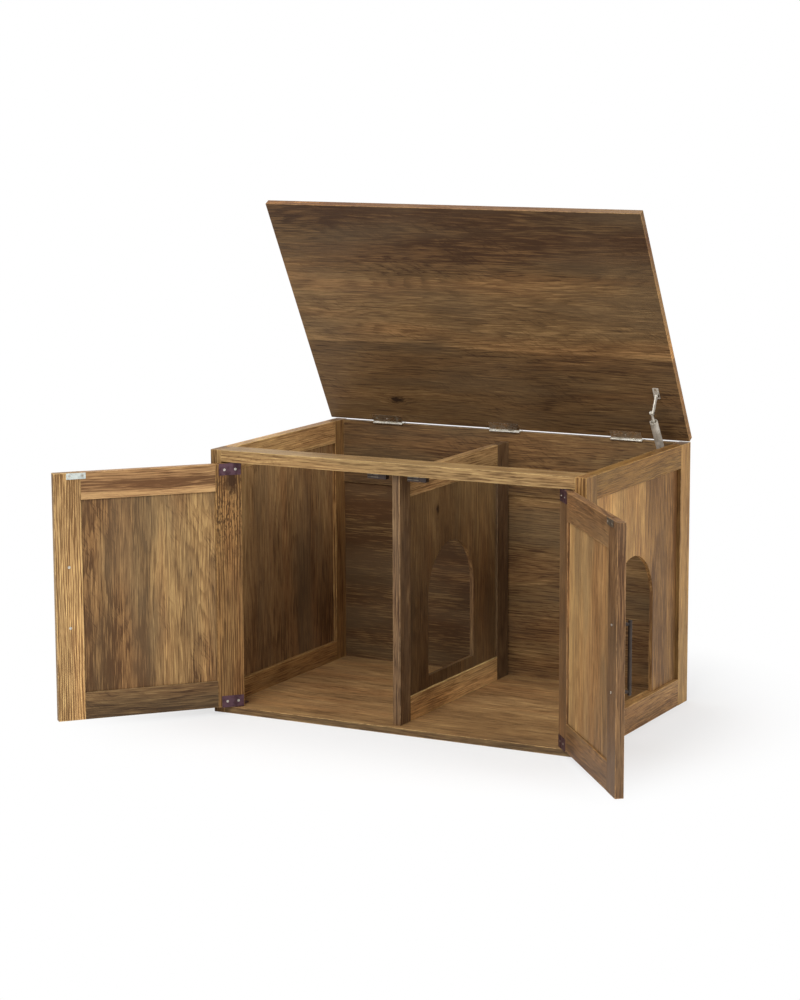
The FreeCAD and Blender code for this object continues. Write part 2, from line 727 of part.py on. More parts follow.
def stay_tube():
    """The tube with its lower eye and open mouth, the rod in its socket and the elbow rivet."""
    start = at_x(stay_side_pivot, stay_x)
    end = at_x(stay_elbow, stay_x)
    along = (end - start).normalize()
    reach = (end - start).Length
    eye = rod(stay_eye_radius, start + LEFT * (stay_eye_width / 2), RIGHT, stay_eye_width)
    neck = rod(stay_neck_radius, start, along, stay_neck_length)
    body_end = reach - stay_tube_end_gap
    body = rod(stay_tube_radius, start + along * stay_tube_start, along, body_end - stay_tube_start)
    mouth_start = start + along * (body_end - stay_tube_mouth)
    socket_start = mouth_start - along * stay_rod_socket
    tube = eye.fuse(neck).fuse(body)
    stud_bore_start = start + LEFT * stay_eye_width
    stud_bore = rod(stay_stud_radius + hole_clearance, stud_bore_start, RIGHT, 2 * stay_eye_width)
    tube = tube.cut(stud_bore)
    tube = tube.cut(rod(stay_tube_bore, mouth_start, along, 2 * stay_tube_mouth))
    tube = tube.cut(rod(stay_rod_radius + hole_clearance, socket_start, along, stay_rod_socket))

    rod_start = socket_start + along * tongue_end_gap
    rod_eye = rod(stay_rod_eye_radius, end + LEFT * (stay_rod_eye_width / 2), RIGHT, stay_rod_eye_width)
    shaft = rod(stay_rod_radius, rod_start, along, (end - rod_start).Length)
    bore_start = end + LEFT * stay_rod_eye_width
    bore = rod(stay_rivet_radius + hole_clearance, bore_start, RIGHT, 2 * stay_rod_eye_width)
    rivet_start = end + LEFT * (stay_rod_eye_width / 2 + stay_running_gap)
    grip = stay_rod_eye_width + stay_link_thickness + 3 * stay_running_gap
    return {
        "stay_tube": [tube.removeSplitter()],
        "stay_rod": [rod_eye.fuse(shaft).cut(bore).removeSplitter()],
        "stay_elbow_rivet": [rivet(rivet_start, grip)],
    }


def stay_link():
    low = at_x(stay_elbow, link_x)
    high = at_x(stay_lid_pivot, link_x)
    bar = stadium(low, high, stay_link_radius, RIGHT, stay_link_thickness)
    bar = bar.cut(rod(stay_rivet_radius + hole_clearance, low, RIGHT, stay_link_thickness))
    bar = bar.cut(rod(stay_rivet_radius + stay_open_pivot_clearance, high, RIGHT, stay_link_thickness))
    return {"stay_link": [bar]}


def add_stay_lid_bracket(lid):
    """A plate under the lid with an ear beside the link, and the rivet of the link's upper pivot."""
    pivot = stay_lid_pivot_closed
    ear_end = ear_x + stay_plate_thickness
    plate_z = (hinge_plane - stay_plate_thickness, hinge_plane)
    plate_y = centred(pivot.y, stay_lid_plate_length)
    plate = eased(block((ear_end - stay_lid_plate_width, ear_end), plate_y, plate_z), UP)
    ear = stadium(
        at_x(pivot, ear_x),
        Vector(ear_x, pivot.y, hinge_plane - stay_link_radius),
        stay_link_radius,
        RIGHT,
        stay_plate_thickness,
    )
    bore = rod(stay_rivet_radius + hole_clearance, at_x(pivot, ear_x), RIGHT, stay_plate_thickness)
    lid["stay_lid_bracket"] = [plate.fuse(ear).cut(bore).removeSplitter()]
    grip = stay_link_thickness + stay_plate_thickness + 3 * stay_running_gap
    lid["stay_lid_rivet"] = [rivet(at_x(pivot, link_x - stay_running_gap), grip)]
    for y in centred(pivot.y, stay_lid_screw_spacing):
        head = Vector(ear_end - stay_lid_plate_width / 2, y, plate_z[0])
        fasten(lid, "lid_screws", stay_lid_screw, head, UP, ["stay_lid_bracket", "lid_board"])


# ---- the whole cabinet ----

def cabinet():
    boards, back_groove = cross_boards()
    carcass = {**sides(), **partition(), **boards}
    drill(carcass, back_groove, ["left_side_rear_stile", "right_side_rear_stile"])
    drill(carcass, back_groove, ["left_side_bottom_rail", "right_side_bottom_rail"])
    add_dowels(carcass)
    add_catches(carcass)
    add_carcass_straps(carcass)

    door = left_door_closed()
    add_door_leaves(door)
    add_strike(door)
    add_handle(door)
    right_pivot = Vector(-door_pivot.x, door_pivot.y, 0)
    left_door = swung(door, door_pivot, UP, -left_door_angle)
    right_door = swung(mirrored(door, "left", "right"), right_pivot, UP, right_door_angle)

    lid = lid_board()
    add_lid_hinges(lid, carcass)
    add_stay_lid_bracket(lid)
    lid = swung(lid, lid_pin, LEFT, lid_angle)
    add_stay_side_bracket(carcass)
    return {**carcass, **left_door, **right_door, **lid, **stay_tube(), **stay_link()}


def main():
    os.makedirs("parts", exist_ok=True)
    for node, solids in cabinet().items():
        shape = solids[0] if len(solids) == 1 else Part.makeCompound(solids)
        shape.exportStep("parts/" + node + ".step")


main()
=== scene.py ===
import math

import bmesh
import bpy
import numpy as np
from mathutils import Matrix, Vector


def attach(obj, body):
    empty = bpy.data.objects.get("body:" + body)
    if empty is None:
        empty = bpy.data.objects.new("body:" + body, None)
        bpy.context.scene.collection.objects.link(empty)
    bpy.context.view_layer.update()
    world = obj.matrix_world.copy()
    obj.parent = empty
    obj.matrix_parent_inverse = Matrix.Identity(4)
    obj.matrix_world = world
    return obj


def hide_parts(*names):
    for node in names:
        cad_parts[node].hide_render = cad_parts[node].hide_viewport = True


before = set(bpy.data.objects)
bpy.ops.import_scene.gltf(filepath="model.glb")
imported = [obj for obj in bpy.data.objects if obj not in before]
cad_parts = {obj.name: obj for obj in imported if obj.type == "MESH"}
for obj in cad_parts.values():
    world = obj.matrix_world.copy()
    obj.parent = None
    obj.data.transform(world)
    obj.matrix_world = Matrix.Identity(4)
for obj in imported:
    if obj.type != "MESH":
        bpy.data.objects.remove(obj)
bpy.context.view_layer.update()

# ---- the photograph's view, in metres and degrees ----
camera_place = Vector((2.632, -5.234, 1.453))
camera_yaw = 27.83
camera_pitch = 9.54
camera_roll = 0.2
camera_lens = 96.5

# ---- studio ----
floor_reach = 30.0
floor_lines = 3
floor_drop = 0.0002
floor_whiteness = 0.58
floor_white_from = 0.5
floor_white_beyond = 0.9
ambient_strength = 0.31
floor_paper = (0.9, 0.9, 0.9, 1.0)
pure_white = (1.0, 1.0, 1.0, 1.0)

# ---- boards ----
seed_step = Vector((1.37, 0.73, 0.41))
course_wander = 0.06
# Lightness of the boards' edges: wear together with painted highlight on the arrises.
wear_and_highlight_lightness = 1.35
line_count = 190.0
line_wander = 3.0
line_slope = 0.7
mark_slope = 0.55
knot_squash = 0.55
knot_push = 0.01
grain_sway = 0.02
board_relief = 0.0004
dowel_relief = 0.0002

# ---- screws ----
weld_distance = 1e-6
screw_sides = 24
recess_reach = 0.62
recess_half_width = 0.17
recess_depth = 0.0007
recess_head_radius = 0.0029
head_steps = (0.0, 0.14, 0.28, 0.42, 0.54, 0.62, 0.72, 0.86, 1.0)


# ---- colours and node helpers ----

def paint(red, green, blue):
    """A colour given as it shows on a screen, 0 to 255, as the linear colour that nodes take."""
    shown = np.array([red, green, blue]) / 255.0
    linear = np.where(shown <= 0.04045, shown / 12.92, ((shown + 0.055) / 1.055) ** 2.4)
    return (*linear.tolist(), 1.0)


class Nodes:
    """Short ways to add nodes to one tree and join them."""

    def __init__(self, tree):
        self.tree = tree
        tree.nodes.clear()

    def add(self, kind, feeds=None, **settings):
        node = self.tree.nodes.new(kind)
        for name, value in settings.items():
            setattr(node, name, value)
        for socket, value in (feeds or {}).items():
            self.feed(node.inputs[socket], value)
        return node

    def feed(self, socket, value):
        if isinstance(value, bpy.types.NodeSocket):
            self.tree.links.new(value, socket)
        else:
            socket.default_value = value

    def math(self, operation, *values):
        return self.add("ShaderNodeMath", dict(enumerate(values)), operation=operation).outputs[0]

    def total(self, *values):
        """The sum of several values."""
        result = values[0]
        for value in values[1:]:
            result = self.math("ADD", result, value)
        return result

    def vector(self, operation, *values):
        node = self.add("ShaderNodeVectorMath", dict(enumerate(values)), operation=operation)
        return node.outputs["Value" if operation in ("LENGTH", "DOT_PRODUCT") else "Vector"]

    def noise(self, place, stretch, detail=2.0, roughness=0.5, shift=0.0):
        """Noise of about 0 to 1 on a place that is stretched by so many waves a metre each way."""
        scaled = self.vector("MULTIPLY", place, stretch)
        moved = self.vector("ADD", scaled, (shift, shift, shift))
        feeds = {"Vector": moved, "Scale": 1.0, "Detail": detail, "Roughness": roughness}
        return self.add("ShaderNodeTexNoise", feeds).outputs[0]

    def ramp(self, value, start, end, low=0.0, high=1.0):
        """A smooth step from low to high as a value goes from start to end."""
        feeds = {"Value": value, "From Min": start, "From Max": end, "To Min": low, "To Max": high}
        return self.add("ShaderNodeMapRange", feeds, interpolation_type="SMOOTHSTEP").outputs[0]

    def mix(self, share, first, second, blend="MIX"):
        feeds = {0: share, 6: first, 7: second}
        return self.add("ShaderNodeMix", feeds, data_type="RGBA", blend_type=blend).outputs[2]


def effect(name, inputs, outputs):
    """An empty node group with named sockets: its helper, its input sockets, its output sockets."""
    tree = bpy.data.node_groups.new(name, "ShaderNodeTree")
    nodes = Nodes(tree)
    for label, kind in inputs:
        tree.interface.new_socket(label, in_out="INPUT", socket_type="NodeSocket" + kind)
    for label, kind in outputs:
        tree.interface.new_socket(label, in_out="OUTPUT", socket_type="NodeSocket" + kind)
    start = nodes.add("NodeGroupInput")
    end = nodes.add("NodeGroupOutput")
    return nodes, start.outputs, end.inputs


def rustic_grain():
    """Old plank: bands, streaks, ring figure, straight lines, dashes, pores, a knot, saw flecks and
    grey patches. Board is the place on the board: X along the grain, Y across, Z through the
    thickness. Tone moves the whole mixture towards the light colour or the dark one."""
    nodes, given, made = effect(
        "rustic_grain",
        [
            ("Board", "Vector"),
            ("Seed", "Vector"),
            ("Light", "Color"),
            ("Middle", "Color"),
            ("Dark", "Color"),
            ("Grey", "Color"),
            ("Tone", "Float"),
            ("Contrast", "Float"),
            ("Lines", "Float"),
            ("Figure", "Float"),
            ("Patches", "Float"),
            ("Flecks", "Float"),
            ("Knot", "Vector"),
            ("Knot Size", "Float"),
        ],
        [("Color", "Color"), ("Roughness", "Float"), ("Height", "Float")],
    )
    place = nodes.vector("ADD", given["Board"], given["Seed"])

    def share(value, strength):
        return nodes.math("MULTIPLY", nodes.math("SUBTRACT", value, 0.5), strength)

    # The knot is a long oval that goes through the board. Around it the grain is pushed aside and
    # the rings close up.
    away = nodes.vector("SUBTRACT", given["Board"], given["Knot"])
    away = nodes.vector("LENGTH", nodes.vector("MULTIPLY", away, (knot_squash, 1.0, 0.0)))
    away = nodes.math("DIVIDE", away, nodes.math("MAXIMUM", given["Knot Size"], 1e-4))
    away = nodes.math("ADD", away, share(nodes.noise(place, (70, 110, 110), 3), 1.6))
    has_knot = nodes.math("GREATER_THAN", given["Knot Size"], 0.0)
    spread = nodes.math("ADD", nodes.math("MULTIPLY", away, away), 1.0)
    pull = nodes.math("DIVIDE", has_knot, spread)
    core = nodes.math("MULTIPLY", nodes.ramp(away, 0.25, 1.05, 1.0, 0.0), has_knot)

    wander = share(nodes.noise(place, (2.4, 7, 7), 2), grain_sway)
    sway = nodes.math("ADD", wander, nodes.math("MULTIPLY", pull, knot_push))
    sway = nodes.add("ShaderNodeCombineXYZ", {"Y": sway}).outputs[0]
    flow = nodes.vector("ADD", place, sway)

    bands = nodes.noise(flow, (1.2, 18, 18), 2, 0.5)
    clouds = nodes.noise(flow, (6, 14, 14), 3, 0.55, 27.0)
    broad = nodes.noise(flow, (7, 75, 75), 3, 0.55, 3.1)
    streaks = nodes.noise(flow, (10, 250, 250), 4, 0.65, 7.7)
    fine = nodes.noise(flow, (18, 600, 600), 3, 0.6, 13.3)
    dashes = nodes.ramp(nodes.noise(flow, (13, 460, 460), 2, 0.55, 21.0), 0.58, 0.68)
    pores = nodes.ramp(nodes.noise(flow, (60, 1500, 1500), 2, 0.5, 5.3), 0.56, 0.7)

    # Straight-grown wood: thin dark lines, so many a metre, that fade in and out along the board.
    parts = nodes.add("ShaderNodeSeparateXYZ", {"Vector": place}).outputs
    count = nodes.math("ADD", parts["Y"], nodes.math("MULTIPLY", parts["Z"], line_slope))
    bend = nodes.noise(place, (3.5, 26, 26), 2, 0.5, 1.9)
    bend = nodes.math("MULTIPLY", bend, line_wander)
    comb = nodes.math("FRACT", nodes.math("ADD", nodes.math("MULTIPLY", count, line_count), bend))
    comb = nodes.math("MULTIPLY", nodes.ramp(comb, 0.1, 0.4), nodes.ramp(comb, 0.4, 0.9, 1.0, 0.0))
    fading = nodes.ramp(nodes.noise(flow, (6, 90, 90), 2, 0.6, 2.7), 0.3, 0.52)
    lines = nodes.math("MULTIPLY", nodes.math("MULTIPLY", comb, fading), given["Lines"])

    # Slanting marks in the clouds between the streaks.
    slant = nodes.math("MULTIPLY", parts["X"], mark_slope)
    slant = nodes.add("ShaderNodeCombineXYZ", {"Y": slant}).outputs[0]
    marks = nodes.noise(nodes.vector("ADD", flow, slant), (50, 210, 210), 2, 0.5, 31.0)
    cloudy = nodes.ramp(nodes.noise(flow, (6, 15, 15)), 0.5, 0.64)
    marks = nodes.math("MULTIPLY", nodes.ramp(marks, 0.54, 0.66), cloudy)

    field = nodes.math("MULTIPLY", nodes.noise(flow, (1.5, 7.5, 7.5), 1.2, 0.4, 11.0), 20.0)
    closing = nodes.math("MULTIPLY", pull, 3.0)
    field = nodes.total(field, closing, nodes.math("MULTIPLY", streaks, 1.2))
    turn = nodes.math("FRACT", field)
    ring = nodes.math("MULTIPLY", nodes.ramp(turn, 0.3, 0.9), nodes.ramp(turn, 0.9, 1.0, 1.0, 0.0))
    ring = nodes.math("MULTIPLY", ring, nodes.ramp(broad, 0.4, 0.6))

    weights = ((bands, 0.4), (clouds, 0.5), (broad, 0.45), (streaks, 0.85), (fine, 1.1))
    play = nodes.total(*(share(value, weight) for value, weight in weights))
    tone = nodes.total(
        0.5,
        given["Tone"],
        nodes.math("MULTIPLY", play, given["Contrast"]),
        nodes.math("MULTIPLY", nodes.math("MULTIPLY", ring, given["Figure"]), -0.3),
        nodes.math("MULTIPLY", nodes.math("MULTIPLY", marks, given["Figure"]), -0.2),
        nodes.math("MULTIPLY", lines, -0.6),
        nodes.math("MULTIPLY", dashes, -0.34),
        nodes.math("MULTIPLY", pull, -0.3),
    )
    colour = nodes.mix(nodes.ramp(tone, 0.0, 0.5), given["Dark"], given["Middle"])
    colour = nodes.mix(nodes.ramp(tone, 0.5, 1.0), colour, given["Light"])

    patch = nodes.ramp(nodes.noise(flow, (2.2, 10, 10), 3, 0.6, 17.0), 0.42, 0.66)
    colour = nodes.mix(nodes.math("MULTIPLY", patch, given["Patches"]), colour, given["Grey"])
    warm = nodes.ramp(nodes.noise(flow, (2.0, 15, 15), 2, 0.5, 23.0), 0.42, 0.66)
    colour = nodes.mix(warm, colour, (1.04, 0.96, 0.92, 1.0), "MULTIPLY")

    saw = nodes.ramp(nodes.noise(place, (90, 380, 380), 3, 0.6, 2.0), 0.5, 0.57)
    sawn = nodes.math("MULTIPLY", saw, given["Flecks"])
    scar = nodes.math("MAXIMUM", nodes.math("MULTIPLY", core, 0.95), sawn)
    scar = nodes.math("MAXIMUM", scar, nodes.math("MULTIPLY", pores, 0.32))
    burnt = nodes.mix(1.0, given["Dark"], (0.4, 0.36, 0.34, 1.0), "MULTIPLY")
    colour = nodes.mix(scar, colour, burnt)

    nodes.feed(made["Color"], colour)
    rough = nodes.total(0.5, share(streaks, 0.22), nodes.math("MULTIPLY", scar, 0.12))
    nodes.feed(made["Roughness"], rough)
    height = nodes.total(
        share(streaks, 0.7),
        share(fine, 0.5),
        nodes.math("MULTIPLY", dashes, -0.3),
        nodes.math("MULTIPLY", scar, -0.7),
        nodes.math("MULTIPLY", lines, -0.4),
    )
    nodes.feed(made["Height"], height)
    return nodes.tree


def worn_and_highlit_arris():
    """Worn wood and painted highlight along a board's edges: Edge is the share of this lighter
    colour, Band that of the narrow faces.
    """
    nodes, given, made = effect(
        "worn_and_highlit_arris",
        [("Board", "Vector"), ("Half", "Vector"), ("Seed", "Vector")],
        [("Edge", "Float"), ("Band", "Float")],
    )
    inside = nodes.vector("SUBTRACT", given["Half"], nodes.vector("ABSOLUTE", given["Board"]))
    depth = nodes.add("ShaderNodeSeparateXYZ", {"Vector": inside}).outputs
    least = nodes.math("MINIMUM", nodes.math("MINIMUM", depth["X"], depth["Y"]), depth["Z"])
    most = nodes.math("MAXIMUM", nodes.math("MAXIMUM", depth["X"], depth["Y"]), depth["Z"])
    # On the surface one of the three depths is nothing, so the middle one is the way to the
    # nearest edge.
    middle = nodes.math("SUBTRACT", nodes.math("SUBTRACT", nodes.total(*depth), least), most)
    place = nodes.vector("ADD", given["Board"], given["Seed"])
    chance = nodes.ramp(nodes.noise(place, (60, 60, 60), 4, 0.65, 41.0), 0.4, 0.62, 0.25, 1.0)
    near = nodes.ramp(middle, 0.0004, 0.0019, 1.0, 0.0)
    nodes.feed(made["Edge"], nodes.math("MULTIPLY", near, chance))
    narrow = nodes.math("MINIMUM", depth["X"], depth["Y"])
    nodes.feed(made["Band"], nodes.ramp(narrow, 0.0003, 0.0009, 1.0, 0.0))
    return nodes.tree


def metal_skin():
    """Rolled or plated metal: fine brushing one way, cloudy tarnish and small pits. Brushing and
    tarnish add to the roughness of the clean metal."""
    nodes, given, made = effect(
        "metal_skin",
        [("Place", "Vector"), ("Tone", "Color"), ("Tarnish", "Color"), ("Clean", "Float")],
        [("Color", "Color"), ("Roughness", "Float"), ("Height", "Float")],
    )
    brushing = nodes.noise(given["Place"], (90, 90, 2600), 3, 0.6)
    clouds = nodes.ramp(nodes.noise(given["Place"], (70, 70, 70), 4, 0.6, 9.0), 0.4, 0.68)
    pits = nodes.ramp(nodes.noise(given["Place"], (1500, 1500, 1500), 1, 0.5, 4.0), 0.66, 0.74)
    colour = nodes.mix(clouds, given["Tone"], given["Tarnish"])
    colour = nodes.mix(nodes.math("MULTIPLY", pits, 0.5), colour, given["Tarnish"])
    nodes.feed(made["Color"], colour)
    worn = nodes.math("MULTIPLY", nodes.math("ADD", brushing, clouds), 0.12)
    nodes.feed(made["Roughness"], nodes.math("ADD", given["Clean"], worn))
    nodes.feed(made["Height"], nodes.math("SUBTRACT", brushing, pits))
    return nodes.tree


GRAIN = rustic_grain()
ARRIS = worn_and_highlit_arris()
SKIN = metal_skin()


def new_material(name):
    material = bpy.data.materials.new(name)
    material.use_nodes = True
    return material, Nodes(material.node_tree)


def close(nodes, colour, roughness, height, relief, settings):
    """The shader at the end of a material, with its bump and its constant settings."""
    bump = nodes.add("ShaderNodeBump", {"Strength": 1.0, "Distance": relief, "Height": height})
    feeds = {"Base Color": colour, "Roughness": roughness, "Normal": bump.outputs[0], **settings}
    shader = nodes.add("ShaderNodeBsdfPrincipled", feeds)
    nodes.add("ShaderNodeOutputMaterial", {"Surface": shader.outputs[0]})


# ---- wood ----

GOLDEN = {
    "Light": paint(216, 177, 120),
    "Middle": paint(174, 136, 90),
    "Dark": paint(110, 78, 46),
    "Grey": paint(146, 118, 84),
    "Contrast": 1.5,
    "Lines": 0.9,
    "Figure": 0.2,
    "Patches": 0.25,
    "Flecks": 0.0,
}
BROWN = {
    "Light": paint(186, 149, 97),
    "Middle": paint(140, 106, 67),
    "Dark": paint(84, 58, 34),
    "Grey": paint(112, 92, 66),
    "Contrast": 1.5,
    "Lines": 0.15,
    "Figure": 0.8,
    "Patches": 0.5,
    "Flecks": 0.0,
}
DEEP = {
    "Light": paint(150, 120, 82),
    "Middle": paint(104, 80, 53),
    "Dark": paint(60, 42, 27),
    "Grey": paint(88, 72, 54),
    "Contrast": 1.3,
    "Lines": 0.1,
    "Figure": 0.9,
    "Patches": 0.5,
    "Flecks": 0.0,
}


def mesh_arrays(node):
    """A node's points and its triangles' corners, as arrays."""
    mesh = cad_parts[node].data
    points = np.empty(len(mesh.vertices) * 3)
    mesh.vertices.foreach_get("co", points)
    corners = np.empty(len(mesh.loops), int)
    mesh.loops.foreach_get("vertex_index", corners)
    return points.reshape(-1, 3), corners.reshape(-1, 3)


def facing(way):
    """A way, or its opposite, so that its greatest part is positive."""
    return way if way[np.abs(way).argmax()] > 0 else -way


def board_axes(node, upright):
    """Rows: along the grain, across it, and out of the board's face, its side of greatest area."""
    points, triangles = mesh_arrays(node)
    first, second, third = (points[triangles[:, corner]] for corner in range(3))
    areas = np.cross(second - first, third - first)
    sizes = np.maximum(np.linalg.norm(areas, axis=1), 1e-12)
    spread = (areas[:, :, None] * areas[:, None, :] / sizes[:, None, None]).sum(axis=0)
    out = np.linalg.eigh(spread)[1][:, -1]
    up = np.array([0.0, 0.0, 1.0])
    along = up if upright else np.cross(up, out)
    if np.linalg.norm(along) < 0.1:
        along = np.array([1.0, 0.0, 0.0])
    along = facing(along / np.linalg.norm(along))
    across = facing(np.cross(out, along))
    return np.array([along, across, np.cross(along, across)])


def course(nodes, board, axis, half, stops):
    """A value that changes over a board: the stops are pairs of a place, 0 to 1 along an axis, and
    a value 0 to 1. The places wander a little with the wood."""
    place = nodes.add("ShaderNodeSeparateXYZ", {"Vector": board}).outputs[axis]
    feeds = {"Value": place, "From Min": -half, "From Max": half}
    place = nodes.add("ShaderNodeMapRange", feeds).outputs[0]
    stretch = (3.0, 3.0, 3.0) if axis == "X" else (2.5, 30.0, 30.0)
    wander = nodes.math("SUBTRACT", nodes.noise(board, stretch, 3), 0.5)
    wander = nodes.math("MULTIPLY", wander, course_wander)
    ramp = nodes.add("ShaderNodeValToRGB", {0: nodes.math("ADD", place, wander)})
    elements = ramp.color_ramp.elements
    for number, (where, value) in enumerate(stops):
        if 0 < number < len(stops) - 1:
            element = elements.new(where)
        else:
            element = elements[0 if number == 0 else len(elements) - 1]
            element.position = where
        element.color = (value, value, value, 1.0)
    return ramp.outputs[0]


def dress_board(
    node, finish, upright, seed, tint, across=None, along=None, flecks=None, knot=None, arris=0.5,
    narrow_tint=(1, 1, 1), **changes
):
    """Wood on one board, with the grain along it. Across and along are courses of its tone, where
    0.5 is no change. Flecks is the course of its saw marks along it. The knot is along, across and
    size, from the board's centre. Narrow tint is what its narrow faces' colour is multiplied by."""
    axes = board_axes(node, upright)
    local = mesh_arrays(node)[0] @ axes.T
    low, high = local.min(axis=0), local.max(axis=0)
    centre, half = (low + high) / 2, (high - low) / 2
    material, nodes = new_material(node + "_wood")
    place = nodes.add("ShaderNodeTexCoord").outputs["Object"]
    turn = Matrix(axes.tolist()).to_euler()
    feeds = {"Vector": place, "Rotation": turn, "Location": (-centre).tolist()}
    board = nodes.add("ShaderNodeMapping", feeds).outputs[0]
    shift = seed_step * seed
    grain = nodes.add("ShaderNodeGroup", node_tree=GRAIN)
    nodes.feed(grain.inputs["Board"], board)
    nodes.feed(grain.inputs["Seed"], shift)
    for name, value in {**finish, **changes}.items():
        nodes.feed(grain.inputs[name], tinted(value, tint) if isinstance(value, tuple) else value)
    tones = [
        nodes.math("SUBTRACT", course(nodes, board, axis, half["XY".index(axis)], stops), 0.5)
        for axis, stops in (("X", along), ("Y", across))
        if stops
    ]
    if tones:
        nodes.feed(grain.inputs["Tone"], nodes.total(*tones))
    if flecks:
        nodes.feed(grain.inputs["Flecks"], course(nodes, board, "X", half[0], flecks))
    if knot:
        nodes.feed(grain.inputs["Knot"], (knot[0], knot[1], 0.0))
        nodes.feed(grain.inputs["Knot Size"], knot[2])
    edge = nodes.add("ShaderNodeGroup", node_tree=ARRIS)
    for name, value in (("Board", board), ("Half", half.tolist()), ("Seed", shift)):
        nodes.feed(edge.inputs[name], value)
    # The lighter edge colour is wear together with painted highlight where the arrises catch the
    # light.
    worn = tinted(finish["Light"], [part * wear_and_highlight_lightness for part in tint])
    grained = grain.outputs["Color"]
    narrow = nodes.mix(1.0, grained, (*narrow_tint, 1.0), "MULTIPLY")
    colour = nodes.mix(edge.outputs["Band"], grained, narrow)
    colour = nodes.mix(nodes.math("MULTIPLY", edge.outputs["Edge"], arris), colour, worn)
    rough, height = grain.outputs["Roughness"], grain.outputs["Height"]
    close(nodes, colour, rough, height, board_relief, {"Specular IOR Level": 0.2})
    wear(node, material)


def tinted(colour, tint):
    """A colour times a tint, part by part."""
    return (*(min(1.0, part * factor) for part, factor in zip(colour, tint)), 1.0)


def wear(node, material):
    """Put a material in the slots of a CAD node."""
    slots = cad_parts[node].data.materials
    slots.clear()
    slots.append(material)


def dress_carcass():
    # Each board's tint and tone courses were set to match its look in the rest pose, so beside its
    # own tone they hold painted light and painted shade.
    dress_board("left_side_front_stile", GOLDEN, True, 1, (0.69, 0.68, 0.63))
    dress_board("left_side_rear_stile", GOLDEN, True, 2, (0.78, 0.74, 0.64))
    dress_board("left_side_top_rail", GOLDEN, False, 3, (1.25, 1.26, 1.2), Figure=0.6, Lines=0.3)
    dress_board("left_side_bottom_rail", GOLDEN, False, 4, (0.8, 0.76, 0.66), Figure=0.6, Lines=0.3)
    down = ((0, 0.26), (0.5, 0.44), (0.8, 0.6), (1, 0.72))
    bands = ((0, 0.6), (0.25, 0.5), (0.45, 0.6), (0.6, 0.46), (0.8, 0.54), (1, 0.44))
    dress_board("left_side_panel", BROWN, True, 5, (1.1, 1.12, 1.2), along=down, across=bands)
    dress_board("right_side_front_stile", GOLDEN, True, 6, (0.73, 0.69, 0.57))
    # The rear stile's narrow faces are darkened as painted shade on the step beside the panel, and
    # its lighter edges are weakened.
    dress_board(
        "right_side_rear_stile", GOLDEN, True, 7, (1.03, 1.02, 0.86), arris=0.25, Lines=0.4,
        narrow_tint=(0.45, 0.42, 0.38),
    )
    dress_board("right_side_top_rail", GOLDEN, False, 8, (0.68, 0.62, 0.42), Figure=0.7, Lines=0.3)
    tint = (0.84, 0.78, 0.68)
    dress_board("right_side_bottom_rail", GOLDEN, False, 9, tint, Figure=0.6, Lines=0.3)
    bands = (
        (0, 0.72), (0.2, 0.68), (0.22, 0.8), (0.4, 0.74), (0.42, 0.52), (0.6, 0.54), (0.7, 0.24),
        (0.84, 0.26), (1, 0.12),
    )
    tint = (1.44, 1.4, 1.24)
    dress_board("right_side_panel", BROWN, True, 10, tint, across=bands, Figure=0.4, Patches=0.15)
    dress_board("partition_front_stile", BROWN, True, 11, (0.76, 0.79, 0.95), Lines=0.5)
    dress_board("partition_rear_stile", BROWN, True, 12, (0.5, 0.54, 0.67))
    dress_board("partition_top_rail", GOLDEN, False, 13, (1.0, 1.06, 1.08), Figure=0.5, Lines=0.3)
    dress_board("partition_bottom_rail", GOLDEN, False, 14, (1.5, 1.6, 1.6), Figure=0.6, Lines=0.3)
    up = ((0, 0.32), (0.4, 0.34), (0.7, 0.5), (1, 0.66))
    bands = ((0, 0.46), (0.3, 0.54), (0.36, 0.4), (0.5, 0.5), (0.6, 0.66), (1, 0.7))
    knot = (0.17, -0.078, 0.008)
    tint = (0.63, 0.64, 0.66)
    dress_board("partition_panel", BROWN, True, 15, tint, along=up, across=bands, knot=knot)
    bands = ((0, 0.58), (0.4, 0.54), (0.7, 0.54), (1, 0.58))
    tint = (0.81, 0.87, 0.86)
    dress_board("front_top_rail", GOLDEN, False, 16, tint, along=bands, Figure=0.7, Lines=0.4)
    # The floor board's narrow faces are darkened: painted shade on its front edge.
    dress_board(
        "floor_board", BROWN, False, 17, (1.37, 1.43, 1.5), Figure=0.4, Patches=0.2,
        narrow_tint=(0.42, 0.43, 0.44),
    )
    bands = ((0, 0.38), (0.45, 0.4), (0.6, 0.5), (1, 0.54))
    dress_board("back_top_board", BROWN, False, 18, (0.68, 0.69, 0.69), along=bands)
    bands = ((0, 0.14), (0.45, 0.18), (0.55, 0.5), (1, 0.5))
    tint = (0.85, 0.88, 0.89)
    dress_board("back_panel", BROWN, False, 19, tint, along=bands, Figure=0.7, Lines=0.3)


